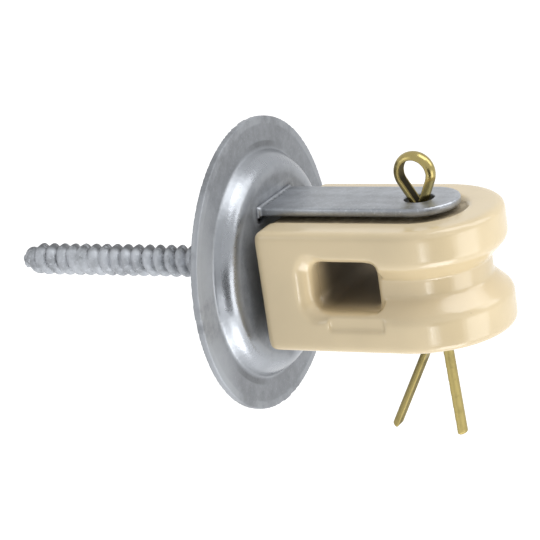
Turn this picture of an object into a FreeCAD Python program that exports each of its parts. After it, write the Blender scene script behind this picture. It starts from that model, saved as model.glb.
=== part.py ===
import FreeCAD, Part
import math
import os

from FreeCAD import Vector

# Screw-in wireholder with a porcelain spool insulator, lengths in millimetres.
# The wall is the plane X = 0 and the screw goes into it along -X. The origin is where
# the screw's axis meets the wall. +X leads out to the insulator's nose and +Z is up.

# Wall plate, pressed from round sheet
plate_dia = 85.7
plate_thickness = 2.0
dome_root_dia = 67.0
dome_rise = 5.1
dome_slope_deg = 60.0
dome_shoulder_radius = 5.0
dome_shoulder_facets = 3

# Clevis strap, flat bar bent to a U behind the plate
strap_width = 21.2
strap_thickness = 2.45
strap_bend_radius = 2.0
strap_edge_bevel = 0.4
arm_gap = 35.2
arm_hole_dia = 8.7
arm_tip_past_pin = 11.8

# Lag screw, headed over the plate like a rivet
screw_reach = 81.5
thread_crest_dia = 9.7
thread_root_dia = 6.6
thread_pitch = 3.71
thread_crest_share = 0.2
thread_first_crest = 7.0
thread_run_out = 3.0
thread_sides = 12
plain_shank_dia = 9.2
plain_shank_length = 13.0
point_blunt_dia = 2.4
point_half_angle_deg = 38.0
collar_dia = 15.0
tenon_dia = 8.0
rivet_head_dia = 15.0
rivet_head_height = 3.0
rivet_head_edge_height = 1.2

# Insulator, pressed porcelain
insulator_height = 35.6
nose_radius = 23.7
pin_to_back = 42.0
outer_edge_bevel = 1.3
back_corner_radius = 2.0
recess_depth = 1.0
recess_edge_bevel = 0.5
insulator_hole_dia = 9.5
groove_depth = 5.2
groove_floor_width = 5.3
groove_slope_deg = 45.0
groove_lip_radius = 4.0
window_back_wall = 15.3
window_height = 14.8
window_raise = 1.3
window_back_corner_radius = 4.0
window_front_corner_radius = 2.2
window_lip_bevel = 1.8
column_back = 8.0
column_corner_radius = 2.5
ledge_height = 5.0
ledge_length = 17.0
ledge_depth = 0.8
ledge_from_pin = 4.7

# Cotter pin, half-round brass wire
pin_dia = 4.4
eye_inner_radius = 4.1
eye_limb_angle_deg = 27.0
neck_bend_radius = 4.0
straight_leg_length = 71.4
bent_leg_length = 74.4
leg_spread_deg = 31.0
leg_bend_radius = 9.0
leg_split = 0.1
leg_tip_bevel = 0.5

# Clearances between the pieces
seat_gap = 0.1
slot_gap = 0.3
tenon_gap = 0.1
head_to_insulator = 0.9
recess_side_gap = 2.6
recess_tip_gap = 1.8
pin_gap = 0.2
eye_gap = 1.05
thread_in_shank = 0.15

# How far a cutting shape runs past the face that it opens
past = 2.0

plateau_front = plate_thickness + dome_rise
plateau_rear = dome_rise
strap_base_front = plateau_rear - seat_gap
strap_base_rear = strap_base_front - strap_thickness
arm_inner_z = arm_gap / 2
arm_outer_z = arm_inner_z + strap_thickness
insulator_back = plateau_front + seat_gap + rivet_head_height + head_to_insulator
pin_x = insulator_back + pin_to_back
insulator_bottom = -arm_inner_z + seat_gap - recess_depth
insulator_top = insulator_bottom + insulator_height
insulator_middle = (insulator_bottom + insulator_top) / 2
X_AXIS = Vector(1, 0, 0)
Y_AXIS = Vector(0, 1, 0)
Z_AXIS = Vector(0, 0, 1)


def corner_arc(before, corner, after, radius):
    """The start, middle and end of the arc that rounds a corner."""
    to_before = (before - corner).normalize()
    to_after = (after - corner).normalize()
    half = to_before.getAngle(to_after) / 2
    reach = radius / math.tan(half)
    depth = radius / math.sin(half) - radius
    middle = corner + (to_before + to_after).normalize() * depth
    return corner + to_before * reach, middle, corner + to_after * reach


def rounded_wire(corners, closed=True):
    """A flat wire through (point, radius) corners, with an arc at each radius that isn't 0."""
    points = [point for point, radius in corners]
    stations = []
    for index, (point, radius) in enumerate(corners):
        if radius == 0:
            stations.append((point,))
        else:
            after = points[(index + 1) % len(points)]
            stations.append(corner_arc(points[index - 1], point, after, radius))
    if closed:
        stations.append(stations[0])
    edges = []
    for station, following in zip(stations, stations[1:]):
        if len(station) == 3:
            edges.append(Part.Arc(*station).toShape())
        if station[-1].distanceToPoint(following[0]) > 1e-6:
            edges.append(Part.LineSegment(station[-1], following[0]).toShape())
    return Part.Wire(edges)


def turned(corners, axis_point, axis, degrees=360):
    """Revolve the closed outline through corners."""
    return Part.Face(rounded_wire(corners)).revolve(axis_point, axis, degrees)


def rod(diameter, start, length, axis):
    return Part.makeCylinder(diameter / 2, length, start, axis)


def edges_where(shape, test):
    return [edge for edge in shape.Edges if test(edge)]


def lies_at(edge, axis, value):
    """True if the whole edge lies in the plane where the coordinate along axis has this value."""
    return all(abs(vertex.Point.dot(axis) - value) < 1e-4 for vertex in edge.Vertexes)


def make_wall_plate():
    """A sheet of even thickness: flat rim, sloping flank, flat plateau with slots for the arms."""
    slope = math.radians(dome_slope_deg)
    root = dome_root_dia / 2
    crown = root - dome_rise / math.tan(slope)
    rear_shift = plate_thickness * math.tan(slope / 2)
    rim = plate_dia / 2
    hub = tenon_dia / 2 + tenon_gap
    hub_front = Vector(plateau_front, 0, hub)
    flank_foot = Vector(plate_thickness, 0, root)
    shoulder = Part.Arc(*corner_arc(hub_front, Vector(plateau_front, 0, crown), flank_foot,
                                    dome_shoulder_radius)).toShape()
    section = [
        Vector(plateau_rear, 0, hub),
        hub_front,
        *shoulder.discretize(int(dome_shoulder_facets) + 1),
        flank_foot,
        Vector(plate_thickness, 0, rim),
        Vector(0, 0, rim),
        Vector(0, 0, root - rear_shift),
        Vector(plateau_rear, 0, crown - rear_shift),
    ]
    plate = turned([(point, 0) for point in section], Vector(), X_AXIS)
    slot_low = arm_inner_z - strap_bend_radius - slot_gap
    slot_high = arm_outer_z + slot_gap
    slot_width = strap_width + 2 * slot_gap
    slot = Part.makeBox(plate_thickness + 2 * past, slot_width, slot_high - slot_low,
                        Vector(plateau_rear - past, -slot_width / 2, slot_low))
    return plate.cut(slot).cut(slot.mirror(Vector(), Z_AXIS))


def make_clevis_strap():
    """The bent bar, trimmed to arms with round ends, with its holes."""
    end_x = pin_x + arm_tip_past_pin
    tip_centre_x = end_x - strap_width / 2
    outer_bend = strap_bend_radius + strap_thickness
    section = rounded_wire([
        (Vector(end_x, 0, arm_outer_z), 0),
        (Vector(strap_base_rear, 0, arm_outer_z), outer_bend),
        (Vector(strap_base_rear, 0, -arm_outer_z), outer_bend),
        (Vector(end_x, 0, -arm_outer_z), 0),
        (Vector(end_x, 0, -arm_inner_z), 0),
        (Vector(strap_base_front, 0, -arm_inner_z), strap_bend_radius),
        (Vector(strap_base_front, 0, arm_inner_z), strap_bend_radius),
        (Vector(end_x, 0, arm_inner_z), 0),
    ])
    bar = Part.Face(section).extrude(Y_AXIS * strap_width)
    bar.translate(Y_AXIS * (-strap_width / 2))
    trim_height = 2 * (arm_outer_z + past)
    trim = Part.makeBox(tip_centre_x - strap_base_rear + past, strap_width, trim_height,
                        Vector(strap_base_rear - past, -strap_width / 2, -trim_height / 2))
    tip = rod(strap_width, Vector(tip_centre_x, 0, -trim_height / 2), trim_height, Z_AXIS)
    strap = bar.common(trim.fuse(tip))
    long_edges = edges_where(strap, lambda edge: edge.Length > strap_width
                             and abs(edge.BoundBox.ZLength) < 1e-4)
    strap = strap.makeChamfer(strap_edge_bevel, long_edges)
    pin_holes = rod(arm_hole_dia, Vector(pin_x, 0, -trim_height / 2), trim_height, Z_AXIS)
    tenon_hole = rod(tenon_dia + 2 * tenon_gap, Vector(strap_base_rear - past, 0, 0),
                     strap_thickness + 2 * past, X_AXIS)
    return strap.cut(pin_holes).cut(tenon_hole)


def thread_corner(step, corner):
    """A corner of the faceted thread: step counts sides round the screw, corner the profile's."""
    crest = thread_crest_dia / 2
    root = thread_root_dia / 2
    half_crest = thread_crest_share / 2
    profile = [(0.0, root), (0.5 - half_crest, crest), (0.5 + half_crest, crest), (1.0, root)]
    share, radius = profile[corner]
    start_x = (thread_first_crest - thread_pitch / 2) % thread_pitch - screw_reach
    x = start_x + thread_pitch * (step / int(thread_sides) + share)
    cone = math.tan(math.radians(point_half_angle_deg))
    cone_radius = point_blunt_dia / 2 + (x + screw_reach) * cone
    radius *= min(1.0, cone_radius / crest)
    hidden_radius = plain_shank_dia / 2 - thread_in_shank
    run_out_start = -plain_shank_length - thread_run_out
    run_out_share = min(1.0, max(0.0, (x - run_out_start) / thread_run_out))
    radius += (hidden_radius - radius) * run_out_share
    angle = 2 * math.pi * step / int(thread_sides)
    return Vector(x, -radius * math.sin(angle), radius * math.cos(angle))


def make_thread():
    """The right-hand thread in flat facets, closed at the point and inside the shank."""
    sides = int(thread_sides)
    turns = math.ceil((screw_reach - plain_shank_length) / thread_pitch) + 1
    last = sides * turns
    triangles = []
    for step in range(last):
        for corner in range(3):
            near, far = thread_corner(step, corner), thread_corner(step, corner + 1)
            next_near = thread_corner(step + 1, corner)
            next_far = thread_corner(step + 1, corner + 1)
            triangles.append((near, far, next_far))
            triangles.append((near, next_far, next_near))
    first_turn = [thread_corner(step, 0) for step in range(sides + 1)]
    first_turn += [thread_corner(0, 2), thread_corner(0, 1)]
    last_turn = [thread_corner(last - sides + step, 3) for step in range(sides + 1)]
    last_turn += [thread_corner(last, 2), thread_corner(last, 1)]
    ends = [(Vector(-screw_reach, 0, 0), first_turn),
            (Vector(thread_corner(last, 3).x, 0, 0), last_turn)]
    for apex, loop in ends:
        for index, corner in enumerate(loop):
            triangles.append((apex, loop[index - 1], corner))
    facets = [Part.Face(Part.makePolygon([a, b, c, a])) for a, b, c in triangles]
    return Part.Solid(Part.Shell(facets))


def make_lag_screw():
    """Thread with its cone point, plain shank, collar, tenon and riveted head."""
    shank = plain_shank_dia / 2
    collar = collar_dia / 2
    collar_rear = seat_gap
    collar_front = strap_base_rear - seat_gap
    tenon = tenon_dia / 2
    head = rivet_head_dia / 2
    head_rear = plateau_front + seat_gap
    head_front = head_rear + rivet_head_height
    body = turned([
        (Vector(-plain_shank_length, 0, 0), 0),
        (Vector(-plain_shank_length, 0, shank), 0),
        (Vector(collar_rear, 0, shank), 0),
        (Vector(collar_rear, 0, collar), 0),
        (Vector(collar_front, 0, collar), 0),
        (Vector(collar_front, 0, tenon), 0),
        (Vector(head_rear, 0, tenon), 0),
        (Vector(head_rear, 0, head), 0),
        (Vector(head_rear + rivet_head_edge_height, 0, head), 0),
        (Vector(head_front, 0, tenon), 0),
        (Vector(head_front, 0, 0), 0),
    ], Vector(), X_AXIS)
    return body.fuse(make_thread()).removeSplitter()


def make_insulator_block():
    """The block before its cuts: straight sides, half-round nose, bevelled edges."""
    width = 2 * nose_radius
    length = pin_x - insulator_back
    block = Part.makeBox(length, width, insulator_height,
                         Vector(insulator_back, -nose_radius, insulator_bottom))
    nose = rod(width, Vector(pin_x, 0, insulator_bottom), insulator_height, Z_AXIS)
    block = block.fuse(nose).removeSplitter()
    back_corners = edges_where(block, lambda edge: lies_at(edge, X_AXIS, insulator_back)
                               and edge.BoundBox.ZLength > insulator_height / 2)
    block = block.makeFillet(back_corner_radius, back_corners)
    outline = edges_where(block, lambda edge: lies_at(edge, Z_AXIS, insulator_bottom)
                          or lies_at(edge, Z_AXIS, insulator_top))
    return block.makeChamfer(outer_edge_bevel, outline)


def make_recess_cut():
    """The top recess that an arm lies in, open at the back, with a bevelled edge."""
    half = strap_width / 2 + recess_side_gap
    end_x = pin_x + arm_tip_past_pin + recess_tip_gap
    floor = insulator_top - recess_depth
    slab = Part.makeBox(end_x - insulator_back + 2 * past, 2 * (half + past), recess_depth,
                        Vector(insulator_back - past, -half - past, floor))
    channel = Part.makeBox(end_x - half - insulator_back + past, 2 * half, recess_depth + past,
                           Vector(insulator_back - past, -half, floor))
    channel = channel.fuse(rod(2 * half, Vector(end_x - half, 0, floor),
                               recess_depth + past, Z_AXIS)).removeSplitter()
    rim = slab.cut(channel)
    rim_edges = edges_where(rim, lambda edge: lies_at(edge, Z_AXIS, insulator_top)
                            and edge.BoundBox.YMin > -half - 1e-3
                            and edge.BoundBox.YMax < half + 1e-3
                            and edge.BoundBox.XMax > insulator_back + past)
    rim = rim.makeChamfer(recess_edge_bevel, rim_edges)
    return channel.fuse(slab.cut(rim))


def groove_section():
    """The wire groove's section where it is square to the nose, seen along the side."""
    floor_z = groove_floor_width / 2
    mouth_z = floor_z + groove_depth / math.tan(math.radians(groove_slope_deg))
    lip_reach = groove_lip_radius * math.tan(math.radians(90 - groove_slope_deg) / 2)
    edge_z = mouth_z + lip_reach + 0.05
    face = nose_radius
    floor = nose_radius - groove_depth
    upper = [
        (floor, floor_z, 0),
        (face, mouth_z, groove_lip_radius),
        (face, edge_z, 0),
        (face + past, edge_z, 0),
    ]
    lower = [(out, -z, radius) for out, z, radius in reversed(upper)]
    return [(Vector(pin_x, -out, insulator_middle + z), radius) for out, z, radius in upper + lower]


def make_groove_cut():
    """The groove round the nose and straight back along both sides into the window."""
    back_x = pin_x - column_back
    nose = turned(groove_section(), Vector(pin_x, 0, 0), Z_AXIS, 180)
    near_side = Part.Face(rounded_wire(groove_section())).extrude(X_AXIS * (back_x - past - pin_x))
    far_side = near_side.mirror(Vector(), Y_AXIS)
    return nose.fuse(near_side).fuse(far_side)


def window_outline(front_x, y):
    back_x = insulator_back + window_back_wall
    middle = insulator_middle + window_raise
    low = middle - window_height / 2
    high = middle + window_height / 2
    return rounded_wire([
        (Vector(back_x, y, low), window_back_corner_radius),
        (Vector(back_x, y, high), window_back_corner_radius),
        (Vector(front_x, y, high), window_front_corner_radius),
        (Vector(front_x, y, low), window_front_corner_radius),
    ])


def make_window_lip(front_x):
    """The flared mouth of the window on the near side, as deep as the groove."""
    opening = Part.Face(window_outline(front_x, -nose_radius)).extrude(Y_AXIS * groove_depth)
    box = opening.BoundBox
    slab = Part.makeBox(box.XLength + 2 * groove_depth, groove_depth,
                        box.ZLength + 2 * groove_depth,
                        Vector(box.XMin - groove_depth, -nose_radius, box.ZMin - groove_depth))
    wall = slab.cut(opening)
    mouth = edges_where(wall, lambda edge: lies_at(edge, Y_AXIS, -nose_radius)
                        and edge.BoundBox.XMin > box.XMin - 1e-3
                        and edge.BoundBox.XMax < box.XMax + 1e-3)
    return slab.cut(wall.makeChamfer(window_lip_bevel, mouth))


def make_column_rounding(front_x):
    """What the round back corner of the column leaves open between groove floor and window."""
    radius = column_corner_radius
    floor_y = -nose_radius + groove_depth
    opening = Part.Face(window_outline(front_x + radius, floor_y)).extrude(Y_AXIS * radius)
    box = opening.BoundBox
    corner = rod(2 * radius, Vector(front_x + radius, floor_y + radius, box.ZMin),
                 box.ZLength, Z_AXIS)
    return opening.cut(corner)


def make_window_cut():
    """The window from side to side, with its lips and the shallow ledge under each mouth."""
    front_x = pin_x - column_back
    tunnel = Part.Face(window_outline(front_x, -nose_radius - past)).extrude(
        Y_AXIS * 2 * (nose_radius + past))
    lip = make_window_lip(front_x + column_corner_radius)
    ledge_top = insulator_middle + window_raise - window_height / 2
    ledge = Part.makeBox(ledge_length, ledge_depth + past, ledge_height,
                         Vector(pin_x - ledge_from_pin - ledge_length, -nose_radius - past,
                                ledge_top - ledge_height))
    near_side = lip.fuse(make_column_rounding(front_x)).fuse(ledge)
    return tunnel.fuse(near_side).fuse(near_side.mirror(Vector(), Y_AXIS))


def make_insulator():
    recess = make_recess_cut()
    lower_recess = recess.mirror(Vector(0, 0, insulator_middle), Z_AXIS)
    pin_hole = rod(insulator_hole_dia, Vector(pin_x, 0, insulator_bottom - past),
                   insulator_height + 2 * past, Z_AXIS)
    block = make_insulator_block().cut(recess).cut(lower_recess).cut(pin_hole)
    return block.cut(make_groove_cut()).cut(make_window_cut())


def make_cotter_pin():
    """Half-round wire: one leg, the eye and the other leg, flat side inwards."""
    radius = pin_dia / 2
    limb = math.radians(eye_limb_angle_deg)
    split = leg_split / 2
    hole = arm_hole_dia / 2
    seat_half = hole - eye_gap - radius / math.cos(limb)
    apex = -(seat_half - split) / math.tan(limb)
    eye_centre = apex + (eye_inner_radius / math.sin(limb)) - split / math.tan(limb)
    eye_top = eye_centre + eye_inner_radius
    top_half = split + (eye_top - apex) * math.tan(limb)
    bend = -(arm_gap + strap_thickness)
    spread = math.radians(leg_spread_deg)
    bent_length = bent_leg_length + bend
    path = rounded_wire([
        (Vector(split, 0, -straight_leg_length), 0),
        (Vector(split, 0, apex), neck_bend_radius),
        (Vector(top_half, 0, eye_top), eye_inner_radius),
        (Vector(-top_half, 0, eye_top), eye_inner_radius),
        (Vector(-split, 0, apex), neck_bend_radius),
        (Vector(-split, 0, bend), leg_bend_radius),
        (Vector(-split - bent_length * math.sin(spread), 0,
                bend - bent_length * math.cos(spread)), 0),
    ], closed=False)
    start = Vector(split, 0, -straight_leg_length)
    flat = Part.LineSegment(start - Y_AXIS * radius, start + Y_AXIS * radius).toShape()
    bulge = Part.Arc(start + Y_AXIS * radius, start + X_AXIS * radius,
                     start - Y_AXIS * radius).toShape()
    pin = path.makePipeShell([Part.Wire([flat, bulge])], True, False)
    for end in [face for face in pin.Faces if len(face.Edges) == 2]:
        tip = edges_where(pin, lambda edge: any(edge.isSame(other) for other in end.Edges))
        pin = pin.makeChamfer(leg_tip_bevel, tip)
    lean = math.degrees(math.atan2(hole - radius - pin_gap, arm_gap + 2 * strap_thickness))
    pin.rotate(Vector(), Y_AXIS, -lean)
    pin.translate(Vector(pin_x, 0, arm_outer_z))
    return pin


def main():
    os.makedirs("parts", exist_ok=True)
    pieces = {
        "wall_plate": make_wall_plate(),
        "clevis_strap": make_clevis_strap(),
        "lag_screw": make_lag_screw(),
        "insulator": make_insulator(),
        "cotter_pin": make_cotter_pin(),
    }
    for name, shape in pieces.items():
        shape.exportStep("parts/" + name + ".step")
        box = shape.BoundBox
        print(name, "valid", shape.isValid(), "solids", len(shape.Solids),
              "volume", round(shape.Volume, 1),
              "X", round(box.XMin, 2), round(box.XMax, 2),
              "Y", round(box.YMin, 2), round(box.YMax, 2),
              "Z", round(box.ZMin, 2), round(box.ZMax, 2))


main()
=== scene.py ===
import math

import bmesh
import bpy
import numpy as np
from bpy.props import FloatProperty, FloatVectorProperty, PointerProperty
from bpy.types import Operator, Panel, PropertyGroup
from mathutils import Matrix, Vector, noise


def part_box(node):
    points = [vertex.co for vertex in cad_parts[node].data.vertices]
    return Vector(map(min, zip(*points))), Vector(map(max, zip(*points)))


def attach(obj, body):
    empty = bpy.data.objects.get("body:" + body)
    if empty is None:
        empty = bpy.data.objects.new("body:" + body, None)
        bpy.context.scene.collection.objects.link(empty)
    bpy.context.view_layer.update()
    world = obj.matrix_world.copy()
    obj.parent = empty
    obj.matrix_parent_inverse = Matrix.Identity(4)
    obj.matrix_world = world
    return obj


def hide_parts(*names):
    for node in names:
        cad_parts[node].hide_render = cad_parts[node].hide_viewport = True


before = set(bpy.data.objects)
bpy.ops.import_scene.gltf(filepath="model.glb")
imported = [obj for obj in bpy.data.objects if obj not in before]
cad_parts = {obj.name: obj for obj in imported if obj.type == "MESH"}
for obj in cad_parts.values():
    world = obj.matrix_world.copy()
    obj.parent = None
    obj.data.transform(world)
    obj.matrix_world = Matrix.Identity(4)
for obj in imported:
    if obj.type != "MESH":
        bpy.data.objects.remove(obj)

bl_info = {
    "name": "Spool insulator wireholder",
    "version": (1, 0, 0),
    "blender": (4, 5, 0),
    "location": "3D View > Sidebar > Wireholder",
    "description": "Builds a porcelain spool insulator in its galvanised clevis and wall plate",
    "category": "Add Mesh",
}

MM = 0.001
BODY = "root"

# Gap that the solids leave between the screw, the plate and the strap
SEAT_GAP = 0.1 * MM

# The strap's and the insulator's sizes that their boxes don't give, as the solids have them
ARM_THICKNESS = 2.45 * MM
WINDOW_BACK = 26.4 * MM
WINDOW_FRONT = 45.1 * MM
WINDOW_HALF_HEIGHT = 7.4 * MM
WINDOW_CORNER = 4.0 * MM
WINDOW_RAISE = 1.3 * MM
WINDOW_BEVEL = 1.8 * MM

# Where the cotter pin's legs part under the insulator
LEG_SPLIT_HEIGHT = -18.0 * MM

# Where most lamps aim, near the middle of the wireholder
LAMP_AIM = (0.03, 0, 0)


class WireholderSizes(PropertyGroup):
    """Lengths and angles that shape the finished pieces."""

    thread_pitch: FloatProperty(
        name="Thread pitch", description="Distance from one thread crest to the next",
        default=3.71 * MM, unit="LENGTH")
    thread_first_crest: FloatProperty(
        name="First full crest", description="From the screw's tip to the first full crest",
        default=7.0 * MM, unit="LENGTH")
    thread_crest_radius: FloatProperty(
        name="Thread crest radius", description="Radius over the rounded thread crests",
        default=4.82 * MM, unit="LENGTH")
    thread_root_radius: FloatProperty(
        name="Thread root radius", description="Radius at the bottom of the thread's valleys",
        default=2.8 * MM, unit="LENGTH")
    point_radius: FloatProperty(
        name="Point radius", description="Radius of the blunt end of the screw's cone",
        default=1.2 * MM, unit="LENGTH")
    point_half_angle: FloatProperty(
        name="Point half angle", description="Half angle of the cone over the first crests",
        default=math.radians(33.0), subtype="ANGLE")
    shank_radius: FloatProperty(
        name="Shank radius", description="Radius of the plain shank behind the plate",
        default=4.6 * MM, unit="LENGTH")
    shank_start: FloatProperty(
        name="Shank start", description="Where the thread has run out into the plain shank",
        default=-13.0 * MM, unit="LENGTH")
    glaze_voxel: FloatProperty(
        name="Glaze voxel", description="Mesh size of the glazed porcelain",
        default=0.44 * MM, unit="LENGTH")
    zinc_voxel: FloatProperty(
        name="Zinc voxel", description="Mesh size of the galvanised plate and strap",
        default=0.4 * MM, unit="LENGTH")
    brass_voxel: FloatProperty(
        name="Brass voxel", description="Mesh size of the cotter pin",
        default=0.2 * MM, unit="LENGTH")


class WireholderColours(PropertyGroup):
    """Colours of the finishes and the levels of the lamps."""

    zinc: FloatVectorProperty(
        name="Zinc", description="Middle grey of the galvanised steel",
        default=(0.33, 0.348, 0.375), subtype="COLOR", size=3)
    glaze: FloatVectorProperty(
        name="Glaze", description="Cream of the glazed porcelain",
        default=(0.665, 0.545, 0.345), subtype="COLOR", size=3)
    brass: FloatVectorProperty(
        name="Brass", description="Yellow of the cotter pin's brass",
        default=(0.215, 0.176, 0.07), subtype="COLOR", size=3)
    floor: FloatVectorProperty(
        name="Floor", description="Pale floor under the wireholder",
        default=(0.9, 0.9, 0.9), subtype="COLOR", size=3)
    lamp_power: FloatProperty(
        name="Lamp power", description="Power that each lamp takes its share of",
        default=1.7, unit="POWER")
    sky_level: FloatProperty(
        name="Sky level", description="Strength of the world's even light",
        default=0.57)


def sizes():
    return bpy.context.scene.wireholder_sizes


def colours():
    return bpy.context.scene.wireholder_colours


class Value:
    """A shader value whose arithmetic adds Math nodes."""

    def __init__(self, finish, socket):
        self.finish = finish
        self.socket = socket

    def math(self, operation, *operands):
        inputs = dict(enumerate(operands))
        return self.finish.add("ShaderNodeMath", inputs, operation=operation)

    def __add__(self, other):
        return self.math("ADD", self, other)

    def __radd__(self, other):
        return self.math("ADD", other, self)

    def __sub__(self, other):
        return self.math("SUBTRACT", self, other)

    def __rsub__(self, other):
        return self.math("SUBTRACT", other, self)

    def __mul__(self, other):
        return self.math("MULTIPLY", self, other)

    def __rmul__(self, other):
        return self.math("MULTIPLY", other, self)

    def __truediv__(self, other):
        return self.math("DIVIDE", self, other)

    def __pow__(self, other):
        return self.math("POWER", self, other)

    def size(self):
        return self.math("ABSOLUTE", self)

    def clipped(self):
        return self.math("MINIMUM", self.math("MAXIMUM", self, 0.0), 1.0)

    def step(self, low, high):
        """0 on the side of low, 1 on the side of high and a smooth change between."""
        inputs = {"Value": self, "From Min": low, "From Max": high}
        return self.finish.add("ShaderNodeMapRange", inputs, interpolation_type="SMOOTHSTEP")


class Finish:
    """A procedural material on Object coordinates."""

    def __init__(self, name):
        self.material = bpy.data.materials.new(name)
        self.material.use_nodes = True
        self.tree = self.material.node_tree
        self.shader = self.tree.nodes["Principled BSDF"]
        self.place = self.add("ShaderNodeTexCoord", {}, output="Object")

    def add(self, kind, inputs, output=0, **settings):
        """Add a node: its settings first, then the values or links of its inputs."""
        node = self.tree.nodes.new(kind)
        for name, setting in settings.items():
            setattr(node, name, setting)
        for key, value in inputs.items():
            self.feed(node.inputs[key], value)
        return Value(self, node.outputs[output])

    def feed(self, socket, value):
        if isinstance(value, Value):
            self.tree.links.new(value.socket, socket)
        else:
            socket.default_value = value

    def set(self, **inputs):
        """Set the shader's own sockets, with underscores for the spaces in their names."""
        for name, value in inputs.items():
            self.feed(self.shader.inputs[name.replace("_", " ")], value)

    def noise(self, scale, detail=3.0, roughness=0.5, place=None):
        inputs = {"Vector": place or self.place, "Scale": scale, "Detail": detail,
                  "Roughness": roughness}
        return self.add("ShaderNodeTexNoise", inputs)

    def dots(self, scale):
        """The distance to the nearest of many scattered dots."""
        inputs = {"Vector": self.place, "Scale": scale}
        return self.add("ShaderNodeTexVoronoi", inputs, output="Distance", feature="F1")

    def attribute(self, name):
        """A value that the piece's own mesh carries on its points."""
        settings = {"attribute_type": "GEOMETRY", "attribute_name": name}
        return self.add("ShaderNodeAttribute", {}, output="Fac", **settings)

    def relief(self):
        """Above 0.5 on edges that stand out, below 0.5 in hollows."""
        return self.attribute("relief")

    def axis(self, letter):
        """One coordinate of the place, in metres."""
        return self.add("ShaderNodeSeparateXYZ", {"Vector": self.place}, output=letter)

    def off_line(self, y=0.0, z=0.0):
        """The distance from a line along X, which is the screw's axis if y and z are 0."""
        across = self.axis("Y") - y
        upward = self.axis("Z") - z
        return (across * across + upward * upward) ** 0.5

    def stretched(self, scale):
        """The place, scaled along each axis, for grain that runs one way."""
        return self.add("ShaderNodeMapping", {"Vector": self.place, "Scale": scale})

    def blend(self, factor, first, second):
        """Mix two colours."""
        node = self.tree.nodes.new("ShaderNodeMix")
        node.data_type = "RGBA"
        node.clamp_factor = True
        sockets = {socket.identifier: socket for socket in node.inputs}
        self.feed(sockets["Factor_Float"], factor)
        self.feed(sockets["A_Color"], first)
        self.feed(sockets["B_Color"], second)
        results = {socket.identifier: socket for socket in node.outputs}
        return Value(self, results["Result_Color"])

    def bump(self, height, distance, strength):
        inputs = {"Height": height, "Distance": distance, "Strength": strength}
        self.set(Normal=self.add("ShaderNodeBump", inputs, output="Normal"))


def shade(colour, factor):
    """A colour made lighter or darker, as a socket takes it."""
    return (*[min(1.0, part * factor) for part in colour], 1.0)


def zinc_finish(name, level=1.0, metal=0.75, dull=0.3, wear=0.55, grit=1.0,
                grain=(1, 1, 1), polished_highlit=None, shaded_top=0.0, dark_hollow_places=()):
    """Weathered hot-dip zinc: mottled grey, pitted hollows and rubbed bright edges.

    polished gives the inner and outer radius of a ring round the X axis that is smoother and more
    metallic, with its colour lighter as a painted highlight, and the whole piece then grows
    lighter towards -Y as painted light.
    shaded_top darkens the upper side of a round piece on the X axis, as painted shade.
    smudged gives the y, z and reach of the only places where hollows are dark, softly.
    Without it they are pitted in patches.
    """
    finish = Finish(name)
    grey = [part * level for part in colours().zinc]
    relief = finish.relief()
    clouds = finish.noise(70.0, 5.0, 0.6)
    mottle = finish.noise(380.0, 4.0, 0.65)
    streaks = finish.noise(240.0, 3.0, 0.6, finish.stretched(grain))
    specks = finish.noise(1400.0, 2.0, 0.5)
    tone = (clouds * 0.35 + mottle * 0.35 + streaks * 0.3).step(0.36, 0.64)
    contrast = 0.16 * grit
    colour = finish.blend(tone, shade(grey, 1 - contrast), shade(grey, 1 + contrast))
    colour = finish.blend(specks.step(0.56, 0.74) * 0.4 * grit, colour, shade(grey, 1.5))
    hollows = relief.step(0.3, 0.08)
    if dark_hollow_places:
        hollows = hollows * sum(finish.off_line(y, z).step(reach, reach * 0.25)
                                for y, z, reach in dark_hollow_places)
        # the hollows are darker, softly, at these places
        colour = finish.blend(hollows * 0.45, colour, shade(grey, 0.3))
        hollows = hollows * 0.25
    else:
        hollows = hollows * finish.noise(34.0, 2.0, 0.5).step(0.4, 0.48)
    pits = (mottle.step(0.36, 0.26) * 0.6 + hollows * 0.8) * specks.step(0.46, 0.6)
    colour = finish.blend((pits * 0.7 * grit).clipped(), colour, shade(grey, 0.3))
    rubbed = relief.step(0.6, 0.85) * clouds.step(0.35, 0.55)
    colour = finish.blend(rubbed * wear, colour, shade(grey, 1.6))
    # painted shade: the upper side is darker
    if shaded_top:
        facing_up = finish.axis("Y") * 0.35 + finish.axis("Z") * 0.94
        upper_side_shade = (facing_up / finish.off_line()).step(0.45, 0.85) * mottle.step(0.3, 0.48)
        colour = finish.blend(upper_side_shade * shaded_top, colour, shade(grey, 0.2))
    roughness = dull + mottle * 0.14 + pits * 0.25 - rubbed * 0.06
    if polished_highlit:
        inner, outer = polished_highlit
        radius = finish.off_line()
        ring = radius.step(inner - 1.5 * MM, inner + 2.0 * MM)
        ring = ring * radius.step(outer + 0.8 * MM, outer - 0.8 * MM)
        # painted highlight: the ring's colour is lighter, besides being smoother and more metallic
        colour = finish.blend(ring * 0.7, colour, shade(grey, 1.45))
        # painted light: lighter towards -Y
        painted_lit_side = finish.axis("Y").step(-24.0 * MM, -37.0 * MM) * clouds.step(0.3, 0.5)
        colour = finish.blend(painted_lit_side * 0.65, colour, shade(grey, 1.75))
        roughness = roughness - ring * 0.16
        metal = metal + ring * 0.55
    finish.set(Base_Color=colour, Metallic=metal, Roughness=roughness)
    height = clouds * 0.5 + mottle * 0.3 + specks * 0.25 - pits * 0.3
    finish.bump(height, 0.2 * grit * MM, 0.45)
    return finish.material


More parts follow.
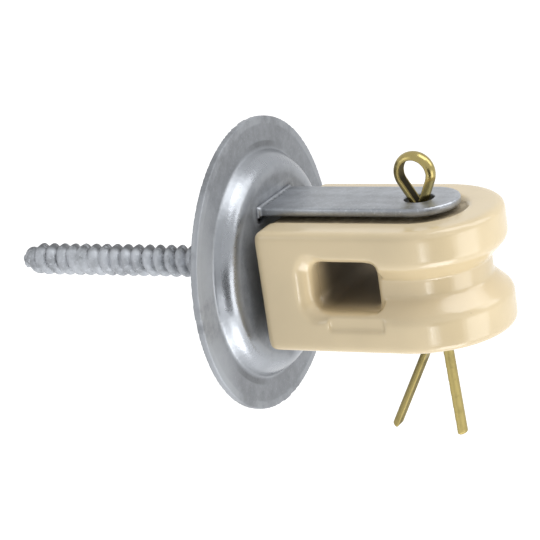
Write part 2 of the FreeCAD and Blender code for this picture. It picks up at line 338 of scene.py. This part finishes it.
def recess_painted_shade(finish):
    """How strongly painted shade darkens the walls of the arms' recesses, in a band."""
    low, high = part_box("insulator")
    half_height = (high.z - low.z) / 2
    off_middle = (finish.axis("Z") - (low.z + high.z) / 2).size()
    # painted shade: the band's edge is made ragged by noise
    ragged_shade_edge = finish.noise(300.0, 3.0, 0.6) * 0.8 * MM
    band = (off_middle + ragged_shade_edge).step(half_height - 0.1 * MM, half_height - 0.7 * MM)
    band = band * off_middle.step(half_height - 3.0 * MM, half_height - 1.6 * MM)
    past_pin = (finish.axis("X") - pin_axis() - 0.4 * MM).clipped()
    sideways = finish.axis("Y")
    from_pin = (past_pin * past_pin + sideways * sideways) ** 0.5
    return band * from_pin.step(13.5 * MM, 12.9 * MM) * 0.68


def window_painted_light(finish):
    """How strongly the painted light on the window's mouth and the painted shade in its depth
    show.
    """
    low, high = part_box("insulator")
    off_middle = (finish.axis("Z") - (low.z + high.z) / 2).size()
    along = finish.axis("X")
    sideways = finish.axis("Y").size()
    window = off_middle.step(WINDOW_HALF_HEIGHT + 3.6 * MM, WINDOW_HALF_HEIGHT + 2.1 * MM)
    window = window * along.step(WINDOW_FRONT + 1.4 * MM, WINDOW_FRONT - 0.1 * MM)
    # painted light: the walls at the window's mouth are lighter
    mouth = sideways.step(high.y - 0.7 * MM, high.y - 2.2 * MM)
    mouth = mouth * along.step(WINDOW_BACK - 6.4 * MM, WINDOW_BACK - 3.4 * MM) * window
    # painted shade: darker nearer the far mouth and along the sill
    far_side = finish.axis("Y").step(0.0, 8.0 * MM) * 4.0 * MM
    sill = finish.axis("Z").step(-4.0 * MM, -6.3 * MM) * 4.5 * MM
    depth = (sideways - far_side - sill).step(18.5 * MM, 7.0 * MM) * window * 0.82
    return mouth, depth


def glaze_finish():
    """Cream gloss glaze with slow waves and pinholes, with painted shade in the window and the
    recesses and painted light on the window's mouth.
    """
    finish = Finish("cream glaze")
    cream = colours().glaze
    painted_shade_brown = (0.05, 0.036, 0.025, 1.0)
    clouds = finish.noise(45.0, 3.0, 0.5)
    colour = finish.blend(clouds.step(0.35, 0.65), shade(cream, 0.96), shade(cream, 1.03))
    pinholes = finish.dots(240.0).step(0.07, 0.03) * finish.noise(60.0).step(0.6, 0.66)
    colour = finish.blend(pinholes * 0.7, colour, shade(cream, 0.35))
    mouth, depth = window_painted_light(finish)
    # painted light on the window's mouth
    colour = finish.blend(mouth, colour, shade(cream, 1.2))
    # painted shade in the recesses and deep in the window, where the glaze is also rougher
    painted_shade_and_bare = (recess_painted_shade(finish) + depth).clipped()
    colour = finish.blend(painted_shade_and_bare, colour, painted_shade_brown)
    finish.set(Base_Color=colour, Roughness=0.13 + clouds * 0.08 + painted_shade_and_bare * 0.75, IOR=1.6)
    waves = finish.noise(110.0, 2.0, 0.45, finish.stretched((0.35, 1, 1)))
    tool_lines = finish.noise(150.0, 2.0, 0.5, finish.stretched((0.25, 0.25, 3.0)))
    finish.bump(waves + tool_lines * 0.25 - pinholes * 0.3, 0.35 * MM, 0.35)
    return finish.material


def brass_finish():
    """Brass wire: brown patches, a dull flat side darkened by tarnish and painted shade, painted
    shade on the flat side below the eye's middle, and rubbed bright edges.
    """
    finish = Finish("tarnished brass")
    yellow = colours().brass
    clouds = finish.noise(250.0, 4.0, 0.6)
    fine = finish.noise(900.0, 3.0, 0.6)
    inner = finish.attribute("inner side")
    unlit = finish.attribute("unlit side")
    legs = finish.axis("Z").step(LEG_SPLIT_HEIGHT + 2.0 * MM, LEG_SPLIT_HEIGHT - 4.0 * MM)
    tarnish = (clouds * 0.7 + fine * 0.3).step(0.49, 0.6) * (1 - legs * 0.4)
    colour = finish.blend(tarnish * 0.8, shade(yellow, 1.27), shade(yellow, 0.32))
    colour = finish.blend(fine.step(0.55, 0.75) * 0.3, colour, shade(yellow, 1.4))
    # painted shade with dull tarnish on the wire's flat side
    colour = finish.blend(inner * (0.8 - legs * 0.5), colour, shade(yellow, 0.45))
    # painted shade on the flat side below the eye's middle
    colour = finish.blend(unlit * 0.9, colour, shade(yellow, 0.1))
    rubbed = finish.relief().step(0.62, 0.85)
    colour = finish.blend(rubbed * 0.7, colour, shade(yellow, 1.9))
    roughness = 0.16 + clouds * 0.16 + inner * (0.5 - legs * 0.2) + legs * 0.3
    finish.set(Base_Color=colour, Metallic=0.95, Roughness=roughness)
    finish.bump(fine + clouds, 0.08 * MM, 0.4)
    return finish.material


def new_piece(name, mesh, material, node):
    """Show a finished mesh in place of a node of the frame."""
    piece = bpy.data.objects.new(name, mesh)
    bpy.context.collection.objects.link(piece)
    mesh.materials.clear()
    mesh.materials.append(material)
    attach(piece, BODY)
    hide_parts(node)


def finished_mesh(work, name):
    """The mesh that a work object's modifiers make; the work object goes."""
    scene_state = bpy.context.evaluated_depsgraph_get()
    finished = bpy.data.meshes.new_from_object(work.evaluated_get(scene_state))
    finished.name = name
    rough = work.data
    bpy.data.objects.remove(work)
    bpy.data.meshes.remove(rough)
    return finished


def work_object(mesh):
    work = bpy.data.objects.new("work", mesh)
    bpy.context.collection.objects.link(work)
    return work


def point_values(mesh, name):
    """Each point's place or normal as rows of x, y and z."""
    values = np.empty(len(mesh.vertices) * 3, dtype=np.float32)
    mesh.vertices.foreach_get(name, values)
    return values.reshape(-1, 3)


def store(mesh, name, values):
    attribute = mesh.attributes.new(name, "FLOAT", "POINT")
    attribute.data.foreach_set("value", values.astype(np.float32))


def mark_relief(mesh, passes, full_height):
    """Store how far each point stands out from the neighbours that surround it."""
    places = point_values(mesh, "co")
    ends = np.empty(len(mesh.edges) * 2, dtype=np.int32)
    mesh.edges.foreach_get("vertices", ends)
    first, second = ends.reshape(-1, 2).T
    neighbours = np.bincount(ends, minlength=len(places))[:, None]
    evened = places.astype(np.float64)
    for _ in range(passes):
        total = np.zeros_like(evened)
        for column in range(3):
            total[:, column] = (
                np.bincount(first, weights=evened[second, column], minlength=len(places))
                + np.bincount(second, weights=evened[first, column], minlength=len(places)))
        evened = total / neighbours
    height = ((places - evened) * point_values(mesh, "normal")).sum(axis=1)
    store(mesh, "relief", np.clip(0.5 + height / (2 * full_height), 0, 1))


def softened_copy(node, name, voxel, passes, rounder=(), reshape=None, add_to=None):
    """The node's own form, evenly meshed and its edges eased.

    rounder pairs a test of the points' places with the passes that they get beforehand,
    reshape moves the points of the even mesh and add_to adds forms that the even mesh takes in.
    """
    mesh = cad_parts[node].data.copy()
    shape = bmesh.new()
    shape.from_mesh(mesh)
    bmesh.ops.remove_doubles(shape, verts=shape.verts, dist=0.002 * MM)
    if add_to:
        add_to(shape)
    shape.to_mesh(mesh)
    shape.free()
    work = work_object(mesh)
    remesh = work.modifiers.new("Even mesh", "REMESH")
    remesh.mode = "VOXEL"
    remesh.voxel_size = voxel
    remesh.use_smooth_shade = True
    work = work_object(finished_mesh(work, "even"))
    if reshape:
        moved = reshape(*point_values(work.data, "co").T)
        work.data.vertices.foreach_set("co", np.column_stack(moved).astype(np.float32).ravel())
    for test, more_passes in rounder:
        chosen = np.flatnonzero(test(*point_values(work.data, "co").T))
        group = work.vertex_groups.new(name="rounder")
        group.add(chosen.tolist(), 1.0, "REPLACE")
        more = work.modifiers.new("Rounder edges", "SMOOTH")
        more.factor = 0.5
        more.iterations = more_passes
        more.vertex_group = group.name
    smooth = work.modifiers.new("Eased edges", "SMOOTH")
    smooth.factor = 0.5
    smooth.iterations = passes
    return finished_mesh(work, name)


def clipped(value):
    return min(1.0, max(0.0, value))


def chain(shape, outline):
    """Points on the side of the X axis towards +Z, at each (along X, radius), joined in a row."""
    verts = [shape.verts.new((x, 0, radius)) for x, radius in outline]
    edges = [shape.edges.new(pair) for pair in zip(verts, verts[1:])]
    return verts + edges


def thread_radius(turn_share, size):
    """Radius across one pitch: a rounded ridge between open valleys."""
    fall = abs(2 * turn_share - 1) ** 1.7
    return size.thread_crest_radius - fall * (size.thread_crest_radius - size.thread_root_radius)


def with_zinc_fill(place, radius, size):
    """The radius where zinc has run into the valleys, on the side of the thread towards -Y."""
    facing = (0.34 * place.z - 0.94 * place.y) / math.hypot(place.y, place.z)
    towards_tip = clipped((-32.0 * MM - place.x) / (26.0 * MM))
    patchy = 0.75 + 0.6 * noise.noise(place * 260)
    share = clipped(facing * 1.7) * (0.2 + 0.65 * towards_tip) * patchy
    full = size.thread_crest_radius - 0.1 * MM
    lump = 0.13 * MM * noise.noise(place * 700)
    filled = radius + max(0.0, full - radius) * min(0.92, share)
    return min(size.thread_crest_radius, filled + lump)


def make_thread_skin(shape, size, tip):
    """Sweep one pitch of the thread along its helix, then taper the point and the run-out."""
    points_per_pitch = 18
    steps_per_turn = 56
    pitch = size.thread_pitch
    start = tip + (size.thread_first_crest - pitch / 2) % pitch - pitch
    turns = math.ceil((size.shank_start - start) / pitch) + 1
    shares = [index / points_per_pitch for index in range(points_per_pitch + 1)]
    outline = [(start + share * pitch, thread_radius(share, size)) for share in shares]
    bmesh.ops.spin(shape, geom=chain(shape, outline), cent=(0, 0, 0), axis=(1, 0, 0),
                   angle=math.tau * turns, steps=steps_per_turn * turns,
                   dvec=(pitch / steps_per_turn, 0, 0))
    run_out = 3.0 * MM
    run_out_start = size.shank_start - run_out
    inside_shank = size.shank_radius - 0.05 * MM
    hidden_end = size.shank_start + 1.0 * MM
    for vert in shape.verts:
        x = vert.co.x
        radius = math.hypot(vert.co.y, vert.co.z)
        cone = size.point_radius + (x - tip) * math.tan(size.point_half_angle)
        target = radius * min(1.0, max(0.0, cone) / size.thread_crest_radius)
        if x < tip:
            target = 0.0
        share = clipped((x - run_out_start) / run_out)
        target += (inside_shank - target) * share * share * (3 - 2 * share)
        if x > hidden_end:
            target = 0.0
        elif run_out_start > x > tip + 2.0 * MM:
            target = with_zinc_fill(vert.co, target, size)
        scale = target / radius
        vert.co = Vector((min(max(x, tip), hidden_end), vert.co.y * scale, vert.co.z * scale))
    bmesh.ops.remove_doubles(shape, verts=shape.verts, dist=0.004 * MM)
    bmesh.ops.recalc_face_normals(shape, faces=shape.faces)


def make_shank_skin(shape, size, collar, head_front):
    """Turn the plain shank, collar, tenon and riveted head as one skin, and bevel its edges."""
    strap_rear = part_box("clevis_strap")[0].x
    head_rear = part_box("wall_plate")[1].x + SEAT_GAP
    tenon = 4.0 * MM
    outline = [
        (size.shank_start - 0.4 * MM, 0.0),
        (size.shank_start - 0.4 * MM, size.shank_radius - 0.3 * MM),
        (size.shank_start, size.shank_radius),
        (SEAT_GAP, size.shank_radius),
        (SEAT_GAP, collar),
        (strap_rear - SEAT_GAP, collar),
        (strap_rear - SEAT_GAP, tenon),
        (head_rear, tenon),
        (head_rear, collar),
        (head_rear + 1.2 * MM, collar),
        (head_front, tenon),
        (head_front, 0.0),
    ]
    bmesh.ops.spin(shape, geom=chain(shape, outline), cent=(0, 0, 0), axis=(1, 0, 0),
                   angle=math.tau, steps=96, use_merge=True)
    sharp = [edge for edge in shape.edges if edge.calc_face_angle(0.0) > math.radians(25)]
    bmesh.ops.bevel(shape, geom=sharp, offset=0.4 * MM, offset_type="OFFSET", segments=3,
                    profile=0.5, affect="EDGES", material=-1, clamp_overlap=True)
    bmesh.ops.recalc_face_normals(shape, faces=shape.faces)


def on_shoulder(x, y, z):
    """Whether points lie on the dome's shoulder and clear of the arms' slots."""
    off_slot = (np.abs(y) > 13.0 * MM) | (np.abs(z) > 23.5 * MM)
    return off_slot & (np.abs(np.hypot(y, z) - 25.5 * MM) < 6.0 * MM)


class WIREHOLDER_OT_wall_plate(Operator):
    """Dress the domed wall plate in zinc"""

    bl_idname = "wireholder.wall_plate"
    bl_label = "Wall plate"

    def execute(self, context):
        mesh = softened_copy("wall_plate", "wall_plate_zinc", sizes().zinc_voxel, 4,
                             [(on_shoulder, 40)])
        mark_relief(mesh, 30, 0.1 * MM)
        # places along the dome's root where the hollows are darker
        low_dark_hollow = (-19.0 * MM, -27.5 * MM, 13.0 * MM)
        upper_dark_hollow = (7.0 * MM, 32.5 * MM, 12.0 * MM)
        zinc = zinc_finish("plate zinc", level=0.65, metal=0.3, dull=0.42,
                           polished_highlit=(27.5 * MM, 33.6 * MM), dark_hollow_places=(low_dark_hollow, upper_dark_hollow))
        new_piece("wall_plate_zinc", mesh, zinc, "wall_plate")
        return {"FINISHED"}


def add_zinc_ridges(shape):
    """Add the low ridge of zinc round each arm, where it comes through the wall plate."""
    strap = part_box("clevis_strap")[1]
    ridge = 0.5 * MM
    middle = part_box("wall_plate")[1].x - 0.2 * MM
    size = (1.3 * MM, 2 * (strap.y + ridge), ARM_THICKNESS + 2 * ridge)
    for side in (1, -1):
        place = Vector((middle, 0, side * (strap.z - ARM_THICKNESS / 2)))
        spread = Matrix.Translation(place) @ Matrix.Diagonal((*size, 1.0))
        bmesh.ops.create_cube(shape, size=1.0, matrix=spread)


class WIREHOLDER_OT_clevis_strap(Operator):
    """Dress the clevis strap in zinc, with its grain along the arms"""

    bl_idname = "wireholder.clevis_strap"
    bl_label = "Clevis strap"

    def execute(self, context):
        mesh = softened_copy("clevis_strap", "clevis_strap_zinc", sizes().zinc_voxel, 2,
                             add_to=add_zinc_ridges)
        mark_relief(mesh, 12, 0.1 * MM)
        zinc = zinc_finish("strap zinc", wear=0.12, grit=1.3, grain=(0.08, 1, 1))
        new_piece("clevis_strap_zinc", mesh, zinc, "clevis_strap")
        return {"FINISHED"}


class WIREHOLDER_OT_lag_screw(Operator):
    """Build the lag screw with its rounded thread, blunt point, collar and riveted head"""

    bl_idname = "wireholder.lag_screw"
    bl_label = "Lag screw"

    def execute(self, context):
        low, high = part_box("lag_screw")
        mesh = bpy.data.meshes.new("lag_screw_zinc")
        thread = bmesh.new()
        make_thread_skin(thread, sizes(), low.x)
        thread.to_mesh(mesh)
        thread.free()
        whole = bmesh.new()
        make_shank_skin(whole, sizes(), high.z, high.x)
        whole.from_mesh(mesh)
        for face in whole.faces:
            face.smooth = True
        whole.to_mesh(mesh)
        whole.free()
        mark_relief(mesh, 12, 0.15 * MM)
        zinc = zinc_finish("screw zinc", level=1.08, metal=0.2, dull=0.45, grit=2.8,
                           shaded_top=0.9)
        new_piece("lag_screw_zinc", mesh, zinc, "lag_screw")
        return {"FINISHED"}


def pin_axis():
    """Where along X the cotter pin goes down: at the middle of the insulator's round nose."""
    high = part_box("insulator")[1]
    return high.x - high.y


def outside_window(x, z):
    """How far points lie outside the window's outline, and how far from its middle height."""
    low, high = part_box("insulator")
    middle = (low.z + high.z) / 2 + WINDOW_RAISE
    half_length = (WINDOW_FRONT - WINDOW_BACK) / 2
    along = np.abs(x - WINDOW_BACK - half_length) - half_length + WINDOW_CORNER
    upward = np.abs(z - middle) - WINDOW_HALF_HEIGHT + WINDOW_CORNER
    outside = np.hypot(np.maximum(along, 0), np.maximum(upward, 0)) - WINDOW_CORNER
    return outside, np.abs(z - middle)


def flared_window(x, y, z):
    """Draw the back lip of each window mouth out into a wide soft flare."""
    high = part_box("insulator")[1]
    flare_length = 6.0 * MM
    flare_end = WINDOW_BACK + flare_length
    outside, off_middle = outside_window(x, z)
    backward = np.clip((flare_end - x) / flare_length, 0, 1)
    reach = 8.0 * MM
    lip_depth = WINDOW_BEVEL + backward * 1.2 * MM
    lip_width = WINDOW_BEVEL + backward * 2.5 * MM
    depth = high.y - np.abs(y)
    flare = lip_depth * np.clip(1 - outside / lip_width, 0, 1) ** (1 + 0.5 * backward)
    squeezed = lip_depth + (depth - WINDOW_BEVEL) * (reach - lip_depth) / (reach - WINDOW_BEVEL)
    deeper = np.where(outside > 0.15 * MM, np.maximum(depth, flare), squeezed)
    on_lip = (depth < reach) & (outside < lip_width) & (x < flare_end)
    on_lip &= (off_middle < WINDOW_HALF_HEIGHT + 5.0 * MM) & (outside > -1.0 * MM)
    return x, np.where(on_lip, np.sign(y) * (high.y - deeper), y), z


def on_outline(x, y, z):
    """Whether points lie along the insulator's upper and lower outline."""
    low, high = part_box("insulator")
    edge = 3.0 * MM
    off_pin = x - pin_axis()
    inward = high.y - np.where(off_pin < 0, np.abs(y), np.hypot(off_pin, y))
    inward = np.minimum(inward, x - low.x)
    return (inward < edge) & (np.minimum(z - low.z, high.z - z) < edge)


def on_window_lip(x, y, z):
    """Whether points lie on the lips of the window's mouths."""
    outside = outside_window(x, z)[0]
    lip = (outside > -0.5 * MM) & (outside < np.where(z < 0, 1.1, 1.8) * MM)
    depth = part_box("insulator")[1].y - np.abs(y)
    return lip & (np.abs(y) > 14.0 * MM) & (depth < 7.0 * MM)


class WIREHOLDER_OT_insulator(Operator):
    """Build the glazed porcelain insulator with its soft edges"""

    bl_idname = "wireholder.insulator"
    bl_label = "Insulator"

    def execute(self, context):
        mesh = softened_copy("insulator", "insulator_porcelain", sizes().glaze_voxel, 4,
                             [(on_outline, 26), (on_window_lip, 60)], flared_window)
        new_piece("insulator_porcelain", mesh, glaze_finish(), "insulator")
        return {"FINISHED"}


def mark_inner_side(mesh):
    """Mark the wire's flat side: in the eye it faces the eye's middle, on a leg the other leg."""
    normals = point_values(mesh, "normal")
    x, _, z = point_values(mesh, "co").T
    eye_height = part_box("cotter_pin")[1].z - 6.3 * MM
    lean = 0.049
    leg_slope = 0.25
    middle = pin_axis() + lean * z - leg_slope * np.maximum(LEG_SPLIT_HEIGHT - z, 0)
    across = middle - x
    upward = np.minimum(eye_height - z, 0)
    reach = np.maximum(np.hypot(across, upward), 0.01 * MM)
    facing = (normals[:, 0] * across + normals[:, 2] * upward) / reach
    inner = np.clip(facing * 3 - 1.5, 0, 1)
    store(mesh, "inner side", inner)
    # the unlit side, below the eye's middle, takes painted shade
    hidden = np.clip((eye_height + 0.5 * MM - z) / (2.0 * MM), 0, 1)
    store(mesh, "unlit side", inner * hidden * (z > LEG_SPLIT_HEIGHT))


class WIREHOLDER_OT_cotter_pin(Operator):
    """Build the brass cotter pin with its edges eased"""

    bl_idname = "wireholder.cotter_pin"
    bl_label = "Cotter pin"

    def execute(self, context):
        mesh = softened_copy("cotter_pin", "cotter_pin_brass", sizes().brass_voxel, 2)
        mark_relief(mesh, 16, 0.08 * MM)
        mark_inner_side(mesh)
        new_piece("cotter_pin_brass", mesh, brass_finish(), "cotter_pin")
        return {"FINISHED"}


def shown(name, shape, finish):
    """Show a shape in its finish; the shape goes."""
    mesh = bpy.data.meshes.new(name)
    shape.to_mesh(mesh)
    shape.free()
    mesh.materials.append(finish.material)
    holder = bpy.data.objects.new(name, mesh)
    bpy.context.collection.objects.link(holder)
    return holder


def seen_as_white(finish):
    """1 for rays from the camera, mirrors and glass, 0 for the rays that light the object."""
    seen = [finish.add("ShaderNodeLightPath", {}, output=ray)
            for ray in ("Is Camera Ray", "Is Glossy Ray", "Is Transmission Ray")]
    return (seen[0] + seen[1] + seen[2]).clipped()


def add_floor():
    """A round pale floor, white where it is seen."""
    radius = 4.0
    height = -0.36
    shape = bmesh.new()
    bmesh.ops.create_circle(shape, cap_ends=True, cap_tris=False, segments=96, radius=radius)
    bmesh.ops.translate(shape, verts=shape.verts, vec=(0, 0, height))
    finish = Finish("pale floor")
    glow = finish.blend(seen_as_white(finish), (0, 0, 0, 1), (0.62, 0.62, 0.62, 1))
    finish.set(Base_Color=(*colours().floor, 1.0), Roughness=0.9, Emission_Color=glow,
               Emission_Strength=1.0)
    floor = shown("floor", shape, finish)


def turned_towards(place, aim):
    """The turn that points a lamp or a card at place towards aim."""
    return (Vector(aim) - Vector(place)).to_track_quat("-Z", "Y")


def add_lamp(name, place, side, share, aim=LAMP_AIM):
    """A square softbox at place that faces aim, with its share of the lamps' power."""
    lamp = bpy.data.lights.new(name, "AREA")
    lamp.shape = "SQUARE"
    lamp.size = side
    lamp.energy = colours().lamp_power * share
    holder = bpy.data.objects.new(name, lamp)
    bpy.context.collection.objects.link(holder)
    holder.location = place
    holder.rotation_euler = turned_towards(place, aim).to_euler()
    holder.visible_camera = False


def add_dark_card():
    """A dark card beside the camera's view, which only shows in the gloss of the surfaces."""
    direction = Vector((0.68, -0.66, -0.22))
    place = direction * 0.42
    width, height = 0.26, 0.3
    shape = bmesh.new()
    bmesh.ops.create_grid(shape, x_segments=1, y_segments=1, size=0.5)
    turn = turned_towards(place, (0, 0, 0)).to_matrix().to_4x4()
    spread = Matrix.Diagonal((width, height, 1.0, 1.0))
    bmesh.ops.transform(shape, verts=shape.verts, matrix=Matrix.Translation(place) @ turn @ spread)
    finish = Finish("dark flag")
    finish.set(Base_Color=(0.02, 0.02, 0.02, 1.0), Roughness=0.9)
    flag = shown("dark flag", shape, finish)
    flag.visible_camera = False
    flag.visible_diffuse = False
    flag.visible_shadow = False


class World(Finish):
    """The world's even light, white where it is seen."""

    def __init__(self, level):
        self.world = bpy.data.worlds.new("studio")
        self.world.use_nodes = True
        self.tree = self.world.node_tree
        background = self.tree.nodes["Background"]
        background.inputs["Color"].default_value = (1, 1, 1, 1)
        seen = seen_as_white(self)
        self.feed(background.inputs["Strength"], level + seen * (1.0 - level))


def add_camera():
    """The photograph's camera: where it stands, how it leans and how long its lens is."""
    azimuth = math.radians(28.88)
    elevation = math.radians(17.83)
    roll = math.radians(-8.54)
    distance = 771 * MM
    aim = Vector((2.43 * MM, 0, -2.38 * MM))
    back = Vector((math.sin(azimuth) * math.cos(elevation),
                   -math.cos(azimuth) * math.cos(elevation), math.sin(elevation)))
    right = Vector((math.cos(azimuth), math.sin(azimuth), 0))
    up = back.cross(right)
    leaning_right = right * math.cos(roll) + up * math.sin(roll)
    leaning_up = up * math.cos(roll) - right * math.sin(roll)
    camera = bpy.data.cameras.new("photo camera")
    camera.sensor_width = 36.0
    camera.lens = 176.03
    camera.clip_start = 0.05
    holder = bpy.data.objects.new("photo camera", camera)
    bpy.context.collection.objects.link(holder)
    turn = Matrix((leaning_right, leaning_up, back)).transposed().to_4x4()
    holder.matrix_world = Matrix.Translation(aim + back * distance) @ turn
    bpy.context.scene.camera = holder


class WIREHOLDER_OT_stage(Operator):
    """Add the floor, the softboxes, the dark card, the world and the camera"""

    bl_idname = "wireholder.stage"
    bl_label = "Stage"

    def execute(self, context):
        add_floor()
        add_lamp("overhead softbox", (0.30, 0.03, 0.54), 0.36, 0.8)
        add_lamp("back softbox", (0.53, 0.22, 0.34), 0.36, 0.6)
        add_lamp("right softbox", (0.62, -0.05, -0.18), 0.34, 0.45)
        add_lamp("low front lamp", (0.27, -0.52, -0.2), 0.1, 0.14)
        add_lamp("low reflector", (0.19, -0.14, -0.29), 0.2, 0.3, aim=(0, -0.02, 0))
        add_lamp("left softbox", (-0.40, -0.45, 0.25), 0.30, 0.25)
        add_dark_card()
        context.scene.world = World(colours().sky_level).world
        add_camera()
        context.scene.view_settings.view_transform = "Standard"
        return {"FINISHED"}


class WIREHOLDER_PT_panel(Panel):
    """The wireholder's sizes, colours and operators"""

    bl_idname = "WIREHOLDER_PT_panel"
    bl_label = "Wireholder"
    bl_space_type = "VIEW_3D"
    bl_region_type = "UI"
    bl_category = "Wireholder"

    def draw(self, context):
        layout = self.layout
        for group in (context.scene.wireholder_sizes, context.scene.wireholder_colours):
            for name in group.__annotations__:
                layout.prop(group, name)
        for operator in OPERATORS:
            layout.operator(operator.bl_idname)


OPERATORS = (
    WIREHOLDER_OT_wall_plate,
    WIREHOLDER_OT_clevis_strap,
    WIREHOLDER_OT_lag_screw,
    WIREHOLDER_OT_insulator,
    WIREHOLDER_OT_cotter_pin,
    WIREHOLDER_OT_stage,
)
CLASSES = (WireholderSizes, WireholderColours, *OPERATORS, WIREHOLDER_PT_panel)


def register():
    for each in CLASSES:
        bpy.utils.register_class(each)
    bpy.types.Scene.wireholder_sizes = PointerProperty(type=WireholderSizes)
    bpy.types.Scene.wireholder_colours = PointerProperty(type=WireholderColours)


def unregister():
    del bpy.types.Scene.wireholder_colours
    del bpy.types.Scene.wireholder_sizes
    for each in reversed(CLASSES):
        bpy.utils.unregister_class(each)


def main():
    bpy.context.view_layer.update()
    register()
    bpy.ops.wireholder.wall_plate()
    bpy.ops.wireholder.clevis_strap()
    bpy.ops.wireholder.lag_screw()
    bpy.ops.wireholder.insulator()
    bpy.ops.wireholder.cotter_pin()
    bpy.ops.wireholder.stage()


if __name__ == "__main__":
    main()
